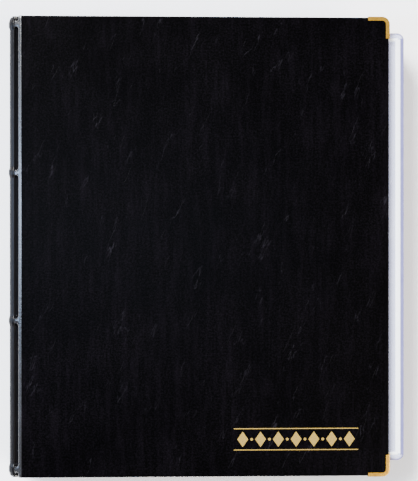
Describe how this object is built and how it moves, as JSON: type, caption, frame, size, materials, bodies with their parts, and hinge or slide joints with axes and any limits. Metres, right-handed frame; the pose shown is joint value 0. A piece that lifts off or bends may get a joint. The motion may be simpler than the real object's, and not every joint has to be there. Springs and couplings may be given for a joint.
{
  "type": "coin album",
  "caption": "Ring-bound coin album: black leatherette covers with brass corners, rounded spine, opening ring mechanism and clear PVC pocket sheets on the rings.",
  "frame": {"origin": "under the middle of the closed album's box, on the surface it lies on", "axes": "+X from the spine to the fore-edge, +Y up the page, +Z from the back cover to the front cover"},
  "size_m": [0.2336, 0.27, 0.04],
  "materials": {
    "leatherette": "fine-grained PVC leatherette, near black",
    "greyboard": "raw board, hidden",
    "lining_vinyl": "smooth black vinyl",
    "corner_brass": "bright-dipped and lacquered",
    "gold_foil": "hot-stamped foil, satin",
    "nickel_plate": "bright nickel plate",
    "blade_steel": "zinc-plated strip",
    "clear_pvc": "clear soft PVC film, faintly blue"
  },
  "bodies": {
    "back_cover": {"back_board": "greyboard", "back_skin": "leatherette", "back_lining": "lining_vinyl", "back_corner_top": "corner_brass", "back_corner_bottom": "corner_brass", "ring_rider_plate": "nickel_plate", "rivets": "nickel_plate", "rivet_washers": "nickel_plate", "lever_pins": "nickel_plate"},
    "spine": {"spine_board": "greyboard", "spine_skin": "leatherette", "spine_lining": "lining_vinyl", "spine_bands": "leatherette", "front_hinge_strip": "leatherette", "back_hinge_strip": "leatherette"},
    "front_cover": {"front_board": "greyboard", "front_skin": "leatherette", "front_lining": "lining_vinyl", "front_corner_top": "corner_brass", "front_corner_bottom": "corner_brass", "foil_ornament": "gold_foil"},
    "left_ring_set": {"blade_left": "blade_steel", "left_half_rings": "nickel_plate"},
    "right_ring_set": {"blade_right": "blade_steel", "right_half_rings": "nickel_plate"},
    "lever_top": {"lever_top": "nickel_plate"},
    "lever_bottom": {"lever_bottom": "nickel_plate"},
    "leaf_1": {"leaf_1_base_film": "clear_pvc", "leaf_1_pocket_film": "clear_pvc"},
    "leaf_2": {"leaf_2_base_film": "clear_pvc", "leaf_2_pocket_film": "clear_pvc"},
    "leaf_3": {"leaf_3_base_film": "clear_pvc", "leaf_3_pocket_film": "clear_pvc"},
    "leaf_4": {"leaf_4_base_film": "clear_pvc", "leaf_4_pocket_film": "clear_pvc"},
    "leaf_5": {"leaf_5_base_film": "clear_pvc", "leaf_5_pocket_film": "clear_pvc"},
    "leaf_6": {"leaf_6_base_film": "clear_pvc", "leaf_6_pocket_film": "clear_pvc"},
    "leaf_7": {"leaf_7_base_film": "clear_pvc", "leaf_7_pocket_film": "clear_pvc"},
    "leaf_8": {"leaf_8_base_film": "clear_pvc", "leaf_8_pocket_film": "clear_pvc"},
    "leaf_9": {"leaf_9_base_film": "clear_pvc", "leaf_9_pocket_film": "clear_pvc"},
    "leaf_10": {"leaf_10_base_film": "clear_pvc", "leaf_10_pocket_film": "clear_pvc"}
  },
  "joints": [
    {"name": "front_hinge", "type": "hinge", "parent": "spine", "child": "front_cover", "pos_m": [-0.11092, 0, 0.0382], "axis": [0, -1, 0], "range_deg": [0, 108.6]},
    {"name": "spine_hinge", "type": "hinge", "parent": "back_cover", "child": "spine", "pos_m": [-0.11092, 0, 0.0018], "axis": [0, -1, 0], "range_deg": [0, 74]},
    {"name": "right_rings_open", "type": "hinge", "parent": "back_cover", "child": "right_ring_set", "pos_m": [-0.07873, 0, 0.005], "axis": [0, 1, 0], "range_deg": [0, 9]},
    {"name": "left_rings_open", "type": "hinge", "parent": "back_cover", "child": "left_ring_set", "pos_m": [-0.10372, 0, 0.005], "axis": [0, 1, 0], "range_deg": [-9, 0]},
    {"name": "lever_top_press", "type": "hinge", "parent": "back_cover", "child": "lever_top", "pos_m": [-0.09123, 0.1198, 0.0066], "axis": [-1, 0, 0], "range_deg": [0, 32]},
    {"name": "lever_bottom_press", "type": "hinge", "parent": "back_cover", "child": "lever_bottom", "pos_m": [-0.09123, -0.1198, 0.0066], "axis": [1, 0, 0], "range_deg": [0, 32]},
    {"name": "leaf_1_turn", "type": "hinge", "parent": "back_cover", "child": "leaf_1", "pos_m": [-0.09123, 0, 0.0187], "axis": [0, -1, 0], "range_deg": [0, 177.9]},
    {"name": "leaf_2_turn", "type": "hinge", "parent": "back_cover", "child": "leaf_2", "pos_m": [-0.09123, 0, 0.0187], "axis": [0, -1, 0], "range_deg": [0, 177.82]},
    {"name": "leaf_3_turn", "type": "hinge", "parent": "back_cover", "child": "leaf_3", "pos_m": [-0.09123, 0, 0.0187], "axis": [0, -1, 0], "range_deg": [0, 177.74]},
    {"name": "leaf_4_turn", "type": "hinge", "parent": "back_cover", "child": "leaf_4", "pos_m": [-0.09123, 0, 0.0187], "axis": [0, -1, 0], "range_deg": [0, 177.67]},
    {"name": "leaf_5_turn", "type": "hinge", "parent": "back_cover", "child": "leaf_5", "pos_m": [-0.09123, 0, 0.0187], "axis": [0, -1, 0], "range_deg": [0, 177.59]},
    {"name": "leaf_6_turn", "type": "hinge", "parent": "back_cover", "child": "leaf_6", "pos_m": [-0.09123, 0, 0.0187], "axis": [0, -1, 0], "range_deg": [0, 2.3]},
    {"name": "leaf_7_turn", "type": "hinge", "parent": "back_cover", "child": "leaf_7", "pos_m": [-0.09123, 0, 0.0187], "axis": [0, -1, 0], "range_deg": [0, 1.8]},
    {"name": "leaf_8_turn", "type": "hinge", "parent": "back_cover", "child": "leaf_8", "pos_m": [-0.09123, 0, 0.0187], "axis": [0, -1, 0], "range_deg": [0, 1.3]},
    {"name": "leaf_9_turn", "type": "hinge", "parent": "back_cover", "child": "leaf_9", "pos_m": [-0.09123, 0, 0.0187], "axis": [0, -1, 0], "range_deg": [0, 0.8]},
    {"name": "leaf_10_turn", "type": "hinge", "parent": "back_cover", "child": "leaf_10", "pos_m": [-0.09123, 0, 0.0187], "axis": [0, -1, 0], "range_deg": [0, 0.3]}
  ],
  "couplings": [
    {"joint": "spine_hinge", "follows": "front_hinge", "ratio": 0.6814},
    {"joint": "left_rings_open", "follows": "right_rings_open", "ratio": -1},
    {"joint": "lever_top_press", "follows": "right_rings_open", "ratio": 3.5556},
    {"joint": "lever_bottom_press", "follows": "right_rings_open", "ratio": 3.5556},
    {"joint": "leaf_1_turn", "follows": "front_hinge", "ratio": 1.6381},
    {"joint": "leaf_2_turn", "follows": "front_hinge", "ratio": 1.6374},
    {"joint": "leaf_3_turn", "follows": "front_hinge", "ratio": 1.6366},
    {"joint": "leaf_4_turn", "follows": "front_hinge", "ratio": 1.636},
    {"joint": "leaf_5_turn", "follows": "front_hinge", "ratio": 1.6353},
    {"joint": "leaf_6_turn", "follows": "front_hinge", "ratio": 0.021178},
    {"joint": "leaf_7_turn", "follows": "front_hinge", "ratio": 0.016574},
    {"joint": "leaf_8_turn", "follows": "front_hinge", "ratio": 0.01197},
    {"joint": "leaf_9_turn", "follows": "front_hinge", "ratio": 0.007366},
    {"joint": "leaf_10_turn", "follows": "front_hinge", "ratio": 0.002762}
  ]
}
